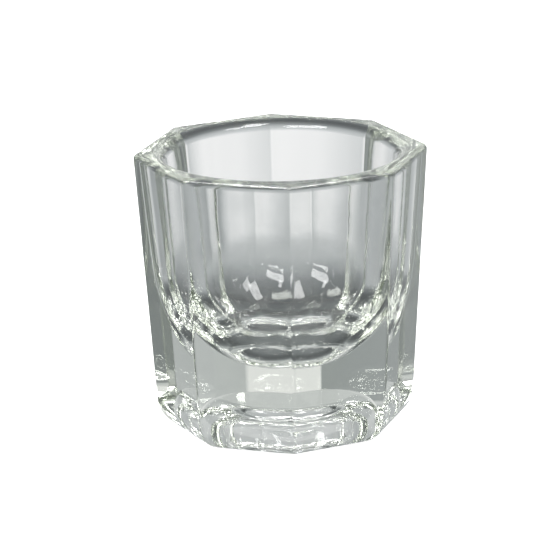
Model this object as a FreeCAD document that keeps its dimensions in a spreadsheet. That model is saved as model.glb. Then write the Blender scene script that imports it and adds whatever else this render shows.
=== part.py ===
"""Octagonal pressed-glass dappen dish: the small cup that holds liquid monomer for a nail brush.

One piece of clear soda-lime glass, pressed in a mould. Eight flat sides lean in towards the foot and turn
under it in a wide round, a well goes down from the mouth and ends in a bowl, and a domed round recess
under the foot leaves a ring to stand on.
Frame: millimetres, +Z up, origin at the centre of the foot ring's face, corners of the octagon on X and Y.
"""

import FreeCAD
import Part
import math
import os

import Sketcher

# Driving dimensions: alias, value (mm or degrees), what it is.
SIZES = [
    ("height", 30.0, "foot face to the top of the rim"),
    ("rim_flats", 28.4, "across the flats in the plane of the rim"),
    ("foot_flats", 24.7, "across the flats in the plane of the foot"),
    ("corner_round", 0.7, "radius along the eight upright edges"),
    ("rim_outer_round", 0.6, "radius of the rim's outer edge"),
    ("rim_inner_round", 1.4, "radius where the well's wall meets the rim"),
    ("foot_round", 3.5, "radius round the foot's outer edge"),
    ("mouth_bore", 24.0, "well's diameter just under the rim"),
    ("bowl_bore", 21.6, "diameter of the round bowl the well ends in"),
    ("well_depth", 22.0, "rim to the lowest point of the well"),
    ("recess_bore", 16.4, "diameter of the recess under the foot"),
    ("recess_depth", 4.4, "foot face to the flat top of that recess"),
    ("recess_top_round", 3.4, "radius between the recess's wall and its top"),
    ("foot_inner_round", 0.25, "radius between the recess's wall and the foot face"),
]
SIDES = 8

doc = FreeCAD.newDocument("dappen_dish")


def make_sheet():
    """Puts the driving dimensions in a spreadsheet, one row each, under their aliases."""
    sheet = doc.addObject("Spreadsheet::Sheet", "sizes")
    for row, (alias, value, meaning) in enumerate(SIZES, start=1):
        sheet.set(f"A{row}", meaning)
        sheet.set(f"B{row}", str(value))
        sheet.setAlias(f"B{row}", alias)
    doc.recompute()
    return sheet


def plane_of(body, role):
    """The body's own origin plane, such as XY_Plane."""
    return next(f for f in body.Origin.OriginFeatures if f.Role == role)


def sketch_on(body, name, role):
    """An empty sketch of the body, attached to one of its origin planes."""
    sketch = body.newObject("Sketcher::SketchObject", name)
    sketch.AttachmentSupport = [(plane_of(body, role), "")]
    sketch.MapMode = "FlatFace"
    return sketch


def octagon(body, name, flats_alias):
    """A regular octagon with corners on the axes, its width across flats bound to the sheet."""
    sketch = sketch_on(body, name, "XY_Plane")
    radius = sheet.get(flats_alias) / 2 / math.cos(math.pi / SIDES)
    turns = [2 * math.pi * k / SIDES for k in range(SIDES)]
    corners = [FreeCAD.Vector(radius * math.cos(turn), radius * math.sin(turn), 0) for turn in turns]
    ring = sketch.addGeometry(Part.Circle(FreeCAD.Vector(0, 0, 0), FreeCAD.Vector(0, 0, 1), radius), True)
    sides = [sketch.addGeometry(Part.LineSegment(corners[k - 1], corners[k])) for k in range(SIDES)]
    sketch.addConstraint(Sketcher.Constraint("Coincident", ring, 3, -1, 1))
    for k in range(SIDES):
        sketch.addConstraint(Sketcher.Constraint("Coincident", sides[k - 1], 2, sides[k], 1))
        sketch.addConstraint(Sketcher.Constraint("PointOnObject", sides[k], 2, ring))
        if k:
            sketch.addConstraint(Sketcher.Constraint("Equal", sides[0], sides[k]))
    sketch.addConstraint(Sketcher.Constraint("PointOnObject", sides[0], 2, -1))
    width = sketch.addConstraint(Sketcher.Constraint("Radius", ring, radius))
    sketch.setExpression(f"Constraints[{width}]", f"sizes.{flats_alias} / 2 / cos(180 deg / {SIDES})")
    return sketch


def arc(centre, radius, start, end):
    """A circular arc in a sketch, from one angle to another in degrees, counter-clockwise."""
    circle = Part.Circle(FreeCAD.Vector(centre[0], centre[1], 0), FreeCAD.Vector(0, 0, 1), radius)
    return Part.ArcOfCircle(circle, math.radians(start), math.radians(end))


def line(start, end):
    """A straight line in a sketch."""
    return Part.LineSegment(FreeCAD.Vector(start[0], start[1], 0), FreeCAD.Vector(end[0], end[1], 0))


def bind(sketch, kind, where, value, expression):
    """Adds a dimension to a sketch and ties it to the sheet."""
    index = sketch.addConstraint(Sketcher.Constraint(kind, *where, value))
    sketch.setExpression(f"Constraints[{index}]", expression)


def well_outline(body):
    """Half section of the well: mouth, rim radius, leaning wall and round end, closed along the axis."""
    sketch = sketch_on(body, "well_outline", "XZ_Plane")
    top = sheet.height
    lip = sheet.rim_inner_round
    mouth = sheet.mouth_bore / 2
    bowl = sheet.bowl_bore / 2
    floor = top - sheet.well_depth
    across = sketch.addGeometry(line((0, top), (mouth + lip, top)))
    edge = sketch.addGeometry(arc((mouth + lip, top - lip), lip, 90, 180))
    wall = sketch.addGeometry(line((mouth, top - lip), (bowl, floor + bowl)))
    end = sketch.addGeometry(arc((0, floor + bowl), bowl, 270, 360))
    axis = sketch.addGeometry(line((0, floor), (0, top)))
    for kind, where in [
        ("Coincident", (across, 1, axis, 2)),
        ("Tangent", (across, 2, edge, 1)),
        ("Tangent", (edge, 2, wall, 1)),
        ("Tangent", (wall, 2, end, 2)),
        ("Coincident", (end, 1, axis, 1)),
        ("Vertical", (axis,)),
        ("Horizontal", (across,)),
        ("PointOnObject", (axis, 1, -2)),
        ("PointOnObject", (end, 3, -2)),
    ]:
        sketch.addConstraint(Sketcher.Constraint(kind, *where))
    bind(sketch, "DistanceY", (-1, 1, across, 1), top, "sizes.height")
    bind(sketch, "DistanceX", (-1, 1, wall, 1), mouth, "sizes.mouth_bore / 2")
    bind(sketch, "Radius", (edge,), lip, "sizes.rim_inner_round")
    bind(sketch, "Radius", (end,), bowl, "sizes.bowl_bore / 2")
    bind(sketch, "DistanceY", (-1, 1, axis, 1), floor, "sizes.height - sizes.well_depth")
    return sketch


def recess_outline(body):
    """Half section of the recess under the foot: both rounds, wall and flat top, closed along the axis."""
    sketch = sketch_on(body, "recess_outline", "XZ_Plane")
    top = sheet.recess_depth
    reach = sheet.recess_bore / 2
    shoulder = sheet.recess_top_round
    edge = sheet.foot_inner_round
    base = sketch.addGeometry(line((0, 0), (reach + edge, 0)))
    low_round = sketch.addGeometry(arc((reach + edge, edge), edge, 180, 270))
    wall = sketch.addGeometry(line((reach, edge), (reach, top - shoulder)))
    top_round = sketch.addGeometry(arc((reach - shoulder, top - shoulder), shoulder, 0, 90))
    across = sketch.addGeometry(line((reach - shoulder, top), (0, top)))
    axis = sketch.addGeometry(line((0, top), (0, 0)))
    for kind, where in [
        ("Coincident", (base, 1, -1, 1)),
        ("Coincident", (axis, 2, -1, 1)),
        ("Tangent", (base, 2, low_round, 2)),
        ("Tangent", (low_round, 1, wall, 1)),
        ("Tangent", (wall, 2, top_round, 1)),
        ("Tangent", (top_round, 2, across, 1)),
        ("Coincident", (across, 2, axis, 1)),
        ("Horizontal", (base,)),
        ("Horizontal", (across,)),
        ("Vertical", (wall,)),
        ("Vertical", (axis,)),
    ]:
        sketch.addConstraint(Sketcher.Constraint(kind, *where))
    bind(sketch, "DistanceX", (-1, 1, wall, 1), reach, "sizes.recess_bore / 2")
    bind(sketch, "DistanceY", (-1, 1, across, 2), top, "sizes.recess_depth")
    bind(sketch, "Radius", (top_round,), shoulder, "sizes.recess_top_round")
    bind(sketch, "Radius", (low_round,), edge, "sizes.foot_inner_round")
    return sketch


def turn_out(body, name, sketch):
    """Cuts a half section away all round the upright axis, and checks that it took glass off."""
    before = body.Tip.Shape.Volume
    groove = body.newObject("PartDesign::Groove", name)
    groove.Profile = sketch
    groove.ReferenceAxis = (sketch, ["V_Axis"])
    groove.Angle = 360
    doc.recompute()
    if groove.Shape.Volume >= before:
        raise RuntimeError(f"{name} cut nothing")
    return groove


def is_upright(edge):
    """True for an edge that runs the whole height."""
    return edge.BoundBox.ZLength > sheet.height / 2


def lies_at(level):
    """A test for an edge that lies flat at that height."""
    return lambda edge: edge.BoundBox.ZLength < 1e-3 and abs(edge.BoundBox.ZMin - level) < 1e-3


def make_block():
    """The solid leaning octagon that the dish is cut from, foot outline at z = 0."""
    body = doc.addObject("PartDesign::Body", "blank")
    block = body.newObject("PartDesign::Pad", "block")
    block.Profile = octagon(body, "foot_outline", "foot_flats")
    block.setExpression("Length", "sizes.height")
    block.setExpression("TaperAngle", "atan((sizes.rim_flats - sizes.foot_flats) / 2 / sizes.height)")
    doc.recompute()
    if block.Shape.isNull() or len(block.Shape.Faces) != SIDES + 2:
        raise RuntimeError("the block is not a plain leaning octagon")
    return block


def round_all(block):
    """Rounds every edge of the block in one go, so that a corner of three different radii closes."""
    groups = [
        (is_upright, sheet.corner_round),
        (lies_at(sheet.height), sheet.rim_outer_round),
        (lies_at(0), sheet.foot_round),
    ]
    rounded = doc.addObject("Part::Fillet", "rounded_block")
    rounded.Base = block
    rounded.Edges = [
        (index, radius, radius)
        for chosen, radius in groups
        for index, edge in enumerate(block.Shape.Edges, start=1)
        if chosen(edge)
    ]
    doc.recompute()
    if len(rounded.Edges) != 3 * SIDES or not rounded.Shape.isValid():
        raise RuntimeError("the block's edges did not round")
    return rounded


def make_glass_dish():
    """The rounded block with the well and the foot's recess turned out of it."""
    body = doc.addObject("PartDesign::Body", "glass_dish")
    body.Label = "glass_dish"
    body.BaseFeature = round_all(make_block())
    doc.recompute()
    turn_out(body, "well", well_outline(body))
    turn_out(body, "recess", recess_outline(body))
    return body


def export(bodies):
    """Stops at the first failed object or bad solid, then writes each body to its own STEP file."""
    doc.recompute()
    for thing in doc.Objects:
        if "Invalid" in thing.State or "Error" in thing.State:
            raise RuntimeError(f"{thing.Label} failed: {thing.State}")
    os.makedirs("parts", exist_ok=True)
    for body in bodies:
        if body.Shape.isNull() or not body.Shape.isValid():
            raise RuntimeError(f"{body.Label} has a bad shape")
        body.Shape.exportStep(f"parts/{body.Label}.step")
        box = body.Shape.optimalBoundingBox()
        print(body.Label, "volume mm3", round(body.Shape.Volume, 1), "box", box)


sheet = make_sheet()
export([make_glass_dish()])
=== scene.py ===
"""A small octagonal dish of clear pressed glass.

It is the kind that holds nail liquid while a brush is dipped in it.
"""

import math

import bpy
from mathutils import Matrix, Vector


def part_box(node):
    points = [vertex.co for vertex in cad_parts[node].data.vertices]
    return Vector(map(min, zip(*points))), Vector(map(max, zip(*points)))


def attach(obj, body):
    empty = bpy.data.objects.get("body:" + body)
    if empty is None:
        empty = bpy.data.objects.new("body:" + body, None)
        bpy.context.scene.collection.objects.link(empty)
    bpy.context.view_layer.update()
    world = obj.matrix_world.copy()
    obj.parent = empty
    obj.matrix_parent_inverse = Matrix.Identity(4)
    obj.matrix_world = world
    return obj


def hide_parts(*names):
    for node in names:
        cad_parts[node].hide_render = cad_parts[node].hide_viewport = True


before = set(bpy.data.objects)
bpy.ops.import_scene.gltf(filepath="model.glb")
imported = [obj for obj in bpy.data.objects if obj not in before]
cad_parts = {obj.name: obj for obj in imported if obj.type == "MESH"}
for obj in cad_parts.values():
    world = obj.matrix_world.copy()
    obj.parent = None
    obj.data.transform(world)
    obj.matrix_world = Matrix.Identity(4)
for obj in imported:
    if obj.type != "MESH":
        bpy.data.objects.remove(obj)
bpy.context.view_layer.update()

# ---- The glass dish ------------------------------------------------------------------------------
# One piece of soda-lime glass, pressed in an eight-sided mould and fire-polished afterwards. Its
# outside is eight flat faces that lean in towards the foot, its well is turned round, and the heat
# that polished it left every face rippled by a few hundredths of a millimetre.

# Sizes are in millimetres and angles in radians, unless they say otherwise.
MM = 0.001
low, high = (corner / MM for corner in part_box("glass_dish"))
HEIGHT = high.z - low.z
SIDES = 8
RIM_HALF = 14.2
FOOT_HALF = 12.35
CORNER_ROUND = 0.7
RIM_OUTER_ROUND = 0.6
RIM_INNER_ROUND = 1.4
FOOT_ROUND = 3.5
MOUTH_RADIUS = 12.0
BOWL_RADIUS = 10.8
WELL_DEPTH = 22.0
RECESS_RADIUS = 8.2
RECESS_DEPTH = 4.4
RECESS_TOP_ROUND = 3.4
FOOT_INNER_ROUND = 0.25
SEAM_GAP = 1e-4


def turn(centre, radius, start, end, steps, facet):
    """Points on an arc of the half section, from one angle to another, without the first."""
    angles = (start + (end - start) * k / steps for k in range(1, steps + 1))
    return [
        (centre[0] + radius * math.cos(a), centre[1] + radius * math.sin(a), facet) for a in angles
    ]


def run(start, end, steps):
    """Points on a straight stretch, closer near its ends, without the first. Facet blends too."""
    eased = ((1 - math.cos(math.pi * k / steps)) / 2 for k in range(1, steps + 1))
    return [tuple(a + (b - a) * t for a, b in zip(start, end)) for t in eased]


def half_section():
    """The dish cut in half, from the middle of the recess round to the bottom of the bowl.

    Each point is (distance from the axis or to a flat, height, facet), where facet is 0 on round
    stretches and 1 on eight-sided ones.
    """
    down, up = -math.pi / 2, math.pi / 2
    lean = math.atan((RIM_HALF - FOOT_HALF) / HEIGHT)

    points = [(0.0, RECESS_DEPTH, 0.0)]
    points += run(points[-1], (RECESS_RADIUS - RECESS_TOP_ROUND, RECESS_DEPTH, 0.0), steps=10)
    shoulder = (RECESS_RADIUS - RECESS_TOP_ROUND, RECESS_DEPTH - RECESS_TOP_ROUND)
    points += turn(shoulder, RECESS_TOP_ROUND, up, 0.0, steps=24, facet=0.0)
    points += run(points[-1], (RECESS_RADIUS, FOOT_INNER_ROUND, 0.0), steps=2)
    edge = (RECESS_RADIUS + FOOT_INNER_ROUND, FOOT_INNER_ROUND)
    points += turn(edge, FOOT_INNER_ROUND, math.pi, 3 * up, steps=6, facet=0.0)

    foot_in = FOOT_HALF + FOOT_ROUND * math.tan(lean) - FOOT_ROUND / math.cos(lean)
    points += run(points[-1], (foot_in, 0.0, 1.0), steps=8)
    points += turn((foot_in, FOOT_ROUND), FOOT_ROUND, down, -lean, steps=16, facet=1.0)

    rim_low = HEIGHT - RIM_OUTER_ROUND
    rim_in = FOOT_HALF + rim_low * math.tan(lean) - RIM_OUTER_ROUND / math.cos(lean)
    rim_start = turn((rim_in, rim_low), RIM_OUTER_ROUND, -lean, -lean, steps=1, facet=1.0)[0]
    points += run(points[-1], rim_start, steps=44)
    points += turn((rim_in, rim_low), RIM_OUTER_ROUND, -lean, up, steps=14, facet=1.0)

    lip = (MOUTH_RADIUS + RIM_INNER_ROUND, HEIGHT - RIM_INNER_ROUND)
    bowl_middle = HEIGHT - WELL_DEPTH + BOWL_RADIUS
    reach = math.hypot(lip[0], lip[1] - bowl_middle)
    lip_turn = math.atan2(lip[1] - bowl_middle, lip[0])
    wall_lean = lip_turn - math.acos((BOWL_RADIUS + RIM_INNER_ROUND) / reach)
    points += run(points[-1], (lip[0], HEIGHT, 0.0), steps=6)
    points += turn(lip, RIM_INNER_ROUND, up, math.pi + wall_lean, steps=10, facet=0.0)
    bowl_start = turn((0, bowl_middle), BOWL_RADIUS, wall_lean, wall_lean, steps=1, facet=0.0)[0]
    points += run(points[-1], bowl_start, steps=26)
    points += turn((0, bowl_middle), BOWL_RADIUS, wall_lean, down, steps=56, facet=0.0)
    points[-1] = (0.0, HEIGHT - WELL_DEPTH, 0.0)
    return points


class Value:
    """A node's output that works in Python arithmetic: each operator adds a Math node."""

    def __init__(self, graph, socket):
        self.graph = graph
        self.socket = socket

    def __add__(self, other):
        return self.graph.math("ADD", self, other)

    def __radd__(self, other):
        return self.graph.math("ADD", other, self)

    def __sub__(self, other):
        return self.graph.math("SUBTRACT", self, other)

    def __rsub__(self, other):
        return self.graph.math("SUBTRACT", other, self)

    def __mul__(self, other):
        return self.graph.math("MULTIPLY", self, other)

    def __rmul__(self, other):
        return self.graph.math("MULTIPLY", other, self)

    def __truediv__(self, other):
        return self.graph.math("DIVIDE", self, other)

    def __rtruediv__(self, other):
        return self.graph.math("DIVIDE", other, self)


class Graph:
    """A node tree that nodes are added to."""

    def __init__(self, tree):
        self.tree = tree

    def node(self, kind, settings=None, inputs=None, output=0):
        """Adds a node: its settings first, then its sockets' values or links. Gives one output."""
        made = self.tree.nodes.new(kind)
        for name, setting in (settings or {}).items():
            if name == "stops":
                while len(made.color_ramp.elements) < len(setting):
                    made.color_ramp.elements.new(1.0)
                for element, (place, level) in zip(made.color_ramp.elements, setting):
                    element.position = place
                    element.color = (level, level, level, 1.0)
            else:
                setattr(made, name, setting)
        for name, value in (inputs or {}).items():
            if isinstance(value, Value):
                self.tree.links.new(value.socket, made.inputs[name])
            else:
                made.inputs[name].default_value = value
        return Value(self, made.outputs[output])

    def math(self, operation, *values):
        """One Math node."""
        return self.node("ShaderNodeMath", {"operation": operation}, dict(enumerate(values)))

    def vector(self, operation, *values):
        """One Vector Math node. A scale is given last."""
        inputs = dict(enumerate(values))
        if operation == "SCALE":
            inputs = {0: values[0], "Scale": values[1]}
        return self.node("ShaderNodeVectorMath", {"operation": operation}, inputs)

    def heading(self, angle):
        """A unit vector in the level plane, at that angle."""
        parts = {"X": self.math("COSINE", angle), "Y": self.math("SINE", angle)}
        return self.node("ShaderNodeCombineXYZ", None, parts)


def press_tree():
    """Geometry Nodes that carry the half section round the axis and bend it to eight sides."""
    tree = bpy.data.node_groups.new("press", "GeometryNodeTree")
    sockets = [
        ("Section", "NodeSocketGeometry"),
        ("Sides", "NodeSocketInt"),
        ("Corner Round", "NodeSocketFloat"),
        ("Rim Half", "NodeSocketFloat"),
        ("Corner Steps", "NodeSocketInt"),
        ("Flat Steps", "NodeSocketInt"),
        ("Ripple", "NodeSocketFloat"),
        ("Ripple Width", "NodeSocketFloat"),
        ("Seed", "NodeSocketFloat"),
        ("Scale", "NodeSocketFloat"),
        ("Glass", "NodeSocketMaterial"),
    ]
    for name, kind in sockets:
        tree.interface.new_socket(name, in_out="INPUT", socket_type=kind)
    tree.interface.new_socket("Dish", in_out="OUTPUT", socket_type="NodeSocketGeometry")
    g = Graph(tree)
    given = tree.nodes.new("NodeGroupInput")
    inputs = {name: Value(g, given.outputs[name]) for name, kind in sockets}
    sides, corner_steps, flat_steps = inputs["Sides"], inputs["Corner Steps"], inputs["Flat Steps"]
    section, glass = inputs["Section"], inputs["Glass"]

    per_side = corner_steps + flat_steps
    around = sides * per_side + 1
    rings = g.node("GeometryNodeAttributeDomainSize", {"component": "MESH"}, {"Geometry": section})
    grid = g.node("GeometryNodeMeshGrid", None, {"Vertices X": rings, "Vertices Y": around})
    index = g.node("GeometryNodeInputIndex")
    ring = g.math("FLOOR", (index + 0.5) / around)
    step = index - ring * around
    side = g.math("FLOOR", (step + 0.5) / per_side)
    along = step - side * per_side

    eighth = 2 * math.pi / sides
    start = side * eighth
    swing = g.math("MINIMUM", along / corner_steps, 1.0) - 0.5
    travel = g.math("MAXIMUM", along - corner_steps, 0.0) / flat_steps
    eased = 0.5 - 0.5 * g.math("COSINE", travel * math.pi)
    corner_heading = g.heading(start + swing * eighth)
    walk = g.vector(
        "ADD",
        g.vector("SCALE", g.heading(start), 1.0 - eased),
        g.vector("SCALE", g.heading(start + eighth), eased),
    )

    def eight_sided(half):
        """A point of the rounded octagon with that half width across its flats."""
        fillet = g.math("MINIMUM", inputs["Corner Round"], half * 0.5)
        centre = (half - fillet) / g.math("COSINE", eighth * 0.5)
        middle = g.vector("SCALE", walk, centre)
        return g.vector("ADD", middle, g.vector("SCALE", corner_heading, fillet))

    def from_section(kind, value):
        """What the half section says at this ring."""
        sampled = {"Geometry": section, "Value": value, "Index": ring}
        return g.node("GeometryNodeSampleIndex", {"data_type": kind, "domain": "POINT"}, sampled)

    place = from_section("FLOAT_VECTOR", g.node("GeometryNodeInputPosition"))
    marked = g.node("GeometryNodeInputNamedAttribute", None, {"Name": "facet"})
    facet = from_section("FLOAT", marked)
    split = g.node("ShaderNodeSeparateXYZ", None, {"Vector": place}).socket.node
    reach, rise = Value(g, split.outputs["X"]), Value(g, split.outputs["Z"])
    outward = g.vector("NORMALIZE", eight_sided(inputs["Rim Half"]))
    level = g.vector(
        "ADD",
        g.vector("SCALE", outward, reach * (1.0 - facet)),
        g.vector("SCALE", eight_sided(reach), facet),
    )
    place = g.vector("ADD", level, g.node("ShaderNodeCombineXYZ", None, {"Z": rise}))
    shape = g.node("GeometryNodeSetPosition", None, {"Geometry": grid, "Position": place})
    shape = g.node("GeometryNodeMergeByDistance", None, {"Geometry": shape, "Distance": SEAM_GAP})
    shape = g.node("GeometryNodeFlipFaces", None, {"Mesh": shape})

    where = g.node("GeometryNodeInputPosition")
    wave = g.node(
        "ShaderNodeTexNoise",
        {"noise_dimensions": "4D"},
        {
            "Vector": where,
            "W": inputs["Seed"],
            "Scale": 1.0 / inputs["Ripple Width"],
            "Detail": 1.0,
        },
    )
    split = g.node("ShaderNodeSeparateXYZ", None, {"Vector": where}).socket.node
    off_foot = g.math("MINIMUM", Value(g, split.outputs["Z"]), 1.0)
    swell = (wave - 0.5) * inputs["Ripple"] * off_foot
    offset = g.vector("SCALE", g.node("GeometryNodeInputNormal"), swell)
    shape = g.node("GeometryNodeSetPosition", None, {"Geometry": shape, "Offset": offset})

    scale = g.node("ShaderNodeCombineXYZ", None, {axis: inputs["Scale"] for axis in "XYZ"})
    shape = g.node("GeometryNodeTransform", None, {"Geometry": shape, "Scale": scale})
    shape = g.node("GeometryNodeSetShadeSmooth", None, {"Geometry": shape})
    shape = g.node("GeometryNodeRealizeInstances", None, {"Geometry": shape})
    shape = g.node("GeometryNodeSetMaterial", None, {"Geometry": shape, "Material": glass})
    result = tree.nodes.new("NodeGroupOutput")
    tree.links.new(shape.socket, result.inputs["Dish"])
    return tree


REFRACTIVE_INDEX = 1.52
GLASS_TINT = (0.86, 0.875, 0.84, 1.0)
TINT_PER_METRE = 60.0
HAZE = 0.03
HAZE_PER_METRE = 160.0
PEEL_STRENGTH = 0.05
PEEL_PER_METRE = 420.0
PEEL_DEPTH = 0.2 * MM


def clear_glass():
    """Soda-lime glass: faint grey-green through its thickness, with slight haze and orange peel."""
    material = bpy.data.materials.new("clear_pressed_glass")
    material.use_nodes = True
    tree = material.node_tree
    g = Graph(tree)
    skin = tree.nodes["Principled BSDF"]
    skin.inputs["Base Color"].default_value = (1.0, 1.0, 1.0, 1.0)
    skin.inputs["Transmission Weight"].default_value = 1.0
    skin.inputs["IOR"].default_value = REFRACTIVE_INDEX
    place = g.node("ShaderNodeTexCoord", output="Object")
    peel = {"Vector": place, "Scale": PEEL_PER_METRE, "Detail": 2.0}
    peel = g.node("ShaderNodeTexNoise", None, peel)
    haze = {"Vector": place, "Scale": HAZE_PER_METRE, "Detail": 3.0}
    haze = g.node("ShaderNodeTexNoise", None, haze)
    tree.links.new((haze * HAZE).socket, skin.inputs["Roughness"])
    bump = {"Strength": PEEL_STRENGTH, "Distance": PEEL_DEPTH, "Height": peel}
    bump = g.node("ShaderNodeBump", None, bump)
    tree.links.new(bump.socket, skin.inputs["Normal"])
    body = tree.nodes.new("ShaderNodeVolumeAbsorption")
    body.inputs["Color"].default_value = GLASS_TINT
    body.inputs["Density"].default_value = TINT_PER_METRE
    tree.links.new(body.outputs["Volume"], tree.nodes["Material Output"].inputs["Volume"])
    return material


def section_object():
    """The half section as a chain of edges, with the facet value on each point."""
    points = half_section()
    mesh = bpy.data.meshes.new("section")
    places = [(r, 0.0, z) for r, z, facet in points]
    mesh.from_pydata(places, [(k - 1, k) for k in range(1, len(points))], [])
    facets = mesh.attributes.new("facet", "FLOAT", "POINT")
    for entry, (r, z, facet) in zip(facets.data, points):
        entry.value = facet
    chain = bpy.data.objects.new("section", mesh)
    bpy.context.scene.collection.objects.link(chain)
    return chain


def press_dish():
    """Runs the tree on the half section and gives the dish as a plain mesh at the origin."""
    chain = section_object()
    press = chain.modifiers.new("press", "NODES")
    press.node_group = press_tree()
    settings = {
        "Sides": SIDES,
        "Corner Round": CORNER_ROUND,
        "Rim Half": RIM_HALF,
        "Corner Steps": 10,
        "Flat Steps": 20,
        "Ripple": 0.06,
        "Ripple Width": 5.0,
        "Seed": 7.0,
        "Scale": MM,
        "Glass": clear_glass(),
    }
    for item in press.node_group.interface.items_tree:
        if item.item_type == "SOCKET" and item.name in settings:
            press[item.identifier] = settings[item.name]
    bpy.context.view_layer.update()
    pressed = chain.evaluated_get(bpy.context.evaluated_depsgraph_get())
    mesh = bpy.data.meshes.new_from_object(pressed)
    mesh.name = "dish"
    chain.modifiers.remove(press)
    bpy.data.objects.remove(chain)
    made = bpy.data.objects.new("dish", mesh)
    bpy.context.scene.collection.objects.link(made)
    return made


dish = press_dish()
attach(dish, "root")
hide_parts("glass_dish")

# ---- The table and the room ----------------------------------------------------------------------
# A pale level table, white to the eye, with a soft shadow under the dish. The room is what the
# clear glass shows: near white level with the dish at the back, grey to the sides, and dark
# steeply below, where it is painted shade that stands in for the dish's shadow on the table.

TABLE_HALF = 1.5
TABLE_COLOUR = (0.8, 0.8, 0.8, 1.0)
TABLE_GLOW = 0.7
WHITE = (1.0, 1.0, 1.0, 1.0)
DIM_TINT = (0.90, 1.0, 1.03, 1.0)
WINDOW_AWAY = 0.6


def pale_table():
    """A wide level plane, white where nothing shades it. Glass sees the room below through it."""
    half = TABLE_HALF
    corners = [(-half, -half, 0), (half, -half, 0), (half, half, 0), (-half, half, 0)]
    mesh = bpy.data.meshes.new("table")
    mesh.from_pydata(corners, [], [(0, 1, 2, 3)])
    material = bpy.data.materials.new("pale_table")
    material.use_nodes = True
    tree = material.node_tree
    tree.nodes.clear()
    g = Graph(tree)
    lit = g.node("ShaderNodeBsdfDiffuse", None, {"Color": TABLE_COLOUR})
    white = g.node("ShaderNodeEmission", None, {"Strength": TABLE_GLOW})
    seen = g.node("ShaderNodeAddShader", None, {0: lit, 1: white})
    clear = g.node("ShaderNodeBsdfTransparent")
    camera = g.node("ShaderNodeLightPath", output="Is Camera Ray")
    glossy = g.node("ShaderNodeLightPath", output="Is Glossy Ray")
    through = g.node("ShaderNodeLightPath", output="Is Transmission Ray")
    from_glass = g.math("MAXIMUM", glossy, through)
    plain = g.node("ShaderNodeMixShader", None, {0: from_glass, 1: lit, 2: clear})
    result = g.node("ShaderNodeMixShader", None, {0: camera, 1: plain, 2: seen})
    output = tree.nodes.new("ShaderNodeOutputMaterial")
    tree.links.new(result.socket, output.inputs["Surface"])
    mesh.materials.append(material)
    table = bpy.data.objects.new("table", mesh)
    bpy.context.scene.collection.objects.link(table)


def room():
    """White to the camera. To the glass, light by direction alone, painted shade steeply below."""
    world = bpy.data.worlds.new("room")
    bpy.context.scene.world = world
    world.use_nodes = True
    tree = world.node_tree
    tree.nodes.clear()
    g = Graph(tree)
    ray = g.node("ShaderNodeTexCoord", output="Generated")
    split = g.node("ShaderNodeSeparateXYZ", None, {"Vector": ray}).socket.node
    east, north, height = (Value(g, split.outputs[axis]) for axis in "XYZ")
    bearing = g.math("ARCTAN2", north, east) / (2 * math.pi) + 0.5

    def by_height(levels):
        """Light by how far above or below level a ray runs: pairs of degrees and light."""
        stops = [((math.sin(math.radians(degrees)) + 1) / 2, light) for degrees, light in levels]
        return g.node("ShaderNodeValToRGB", {"stops": stops}, {"Fac": height * 0.5 + 0.5})

    def by_bearing(levels):
        """The same for the way round, in degrees from the +X side, anticlockwise from above."""
        stops = [(degrees / 360 + 0.5, light) for degrees, light in levels]
        return g.node("ShaderNodeValToRGB", {"stops": stops}, {"Fac": bearing})

    # All round: dark steeply below, white about level, with a grey band just above that.
    # The dark steeply below is painted shade, in place of the dish's shadow on the table near it.
    plain = by_height([
        (-90, 0.22), (-60, 0.14), (-50, 0.09), (-42, 0.11), (-35, 0.21), (-29, 0.43), (-23, 0.60),
        (-20, 0.78), (-18, 0.96), (-13, 1.0), (5, 1.0), (11, 0.75), (16, 0.75), (22, 1.0),
        (90, 1.0),
    ])
    # About level: near white at the back, greyer in front, and dark to both sides.
    round_table = by_bearing([
        (-180, 0.33), (-135, 0.28), (-110, 0.38), (-90, 0.75), (-60, 0.60), (-45, 0.28),
        (-10, 0.16), (20, 0.20), (40, 0.48), (60, 0.62), (75, 0.80), (85, 0.94),
        (99, 0.96), (105, 0.78), (112, 0.40), (130, 0.31), (180, 0.38),
    ])
    near_level = by_height([(-27, 0.0), (-19, 1.0), (6, 1.0), (11, 0.0)])
    # High up: the brightest walls are in front and to the right of it.
    round_walls = by_bearing([
        (-180, 0.50), (-130, 0.80), (-90, 1.25), (-30, 1.25),
        (0, 0.70), (30, 0.50), (90, 0.60), (180, 0.50),
    ])
    high_up = by_height([(14, 0.0), (24, 1.0)])
    level_light = 1.0 - near_level * (1.0 - round_table)
    high_light = 1.0 - high_up * (1.0 - round_walls)
    light = plain * level_light * high_light
    # The numbers are the Mix node's Factor, A and B for colours, and its colour output.
    tint = g.node("ShaderNodeMix", {"data_type": "RGBA"}, {0: light, 6: DIM_TINT, 7: WHITE}, 2)
    seen = g.node("ShaderNodeBackground", None, {"Color": WHITE, "Strength": 1.0})
    around = g.node("ShaderNodeBackground", None, {"Color": tint, "Strength": light})
    camera = g.node("ShaderNodeLightPath", output="Is Camera Ray")
    result = g.node("ShaderNodeMixShader", None, {0: camera, 1: around, 2: seen})
    output = tree.nodes.new("ShaderNodeOutputWorld")
    tree.links.new(result.socket, output.inputs["Surface"])


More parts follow.
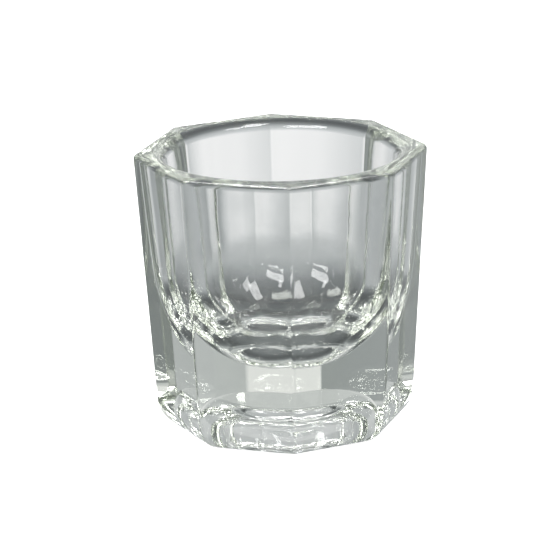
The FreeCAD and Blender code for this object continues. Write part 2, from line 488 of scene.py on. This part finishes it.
def window(name, bearing, rise, width, tall, light):
    """A lamp the shape of a window pane, of a given brightness. Angles are in degrees."""
    turn_z, turn_up = math.radians(bearing), math.radians(rise)
    level = math.cos(turn_up)
    place = Vector((level * math.cos(turn_z), level * math.sin(turn_z), math.sin(turn_up)))
    place *= WINDOW_AWAY
    data = bpy.data.lights.new(name, "AREA")
    data.shape = "RECTANGLE"
    data.size = 2 * WINDOW_AWAY * math.tan(math.radians(width / 2))
    data.size_y = 2 * WINDOW_AWAY * math.tan(math.radians(tall / 2))
    data.energy = light * math.pi * data.size * data.size_y
    lamp = bpy.data.objects.new(name, data)
    lamp.visible_camera = False
    lamp.location = place
    lamp.rotation_euler = place.to_track_quat("Z", "Y").to_euler()
    bpy.context.scene.collection.objects.link(lamp)


pale_table()
room()
window("window_left_high", -54, 61, 15, 24, 13.0)
window("window_left_low", -38, 46, 14, 14, 8.0)
window("window_right_high", -124, 45, 36, 8, 13.0)
window("window_right_low", -122, 35, 36, 6, 12.0)
window("window_right_edge", -141, 50, 7, 8, 9.0)

# ---- The camera ----------------------------------------------------------------------------------
# A long lens about 0.42 m away, above the rim and a few degrees round from the front corner, held
# with a slight tilt.

DISTANCE = 424.0
AIM = Vector((-0.33, 0.0, 15.73))
EYE_HEIGHT = math.radians(16.44)
EYE_TURN = math.radians(3.64)
EYE_TILT = math.radians(-1.2)
LENS = 260.2
SENSOR_WIDTH = 36.0
NEAREST = 0.01
BOUNCES = 24
eye = bpy.data.cameras.new("camera")
eye.sensor_width = SENSOR_WIDTH
eye.lens = LENS
eye.clip_start = NEAREST
camera = bpy.data.objects.new("camera", eye)
stand = Matrix.Rotation(-EYE_TURN, 4, "Z") @ Matrix.Translation(AIM * MM)
back = Matrix.Translation((0, 0, DISTANCE * MM))
swing = Matrix.Rotation(math.pi / 2 - EYE_HEIGHT, 4, "X") @ back
camera.matrix_world = stand @ swing @ Matrix.Rotation(EYE_TILT, 4, "Z")
bpy.context.scene.collection.objects.link(camera)
bpy.context.scene.camera = camera
bpy.context.scene.view_settings.view_transform = "Standard"
# Light that the rim and the foot guide inside the glass needs many turns to come out again.
bpy.context.scene.cycles.max_bounces = BOUNCES
bpy.context.scene.cycles.transmission_bounces = BOUNCES
bpy.context.scene.cycles.glossy_bounces = BOUNCES
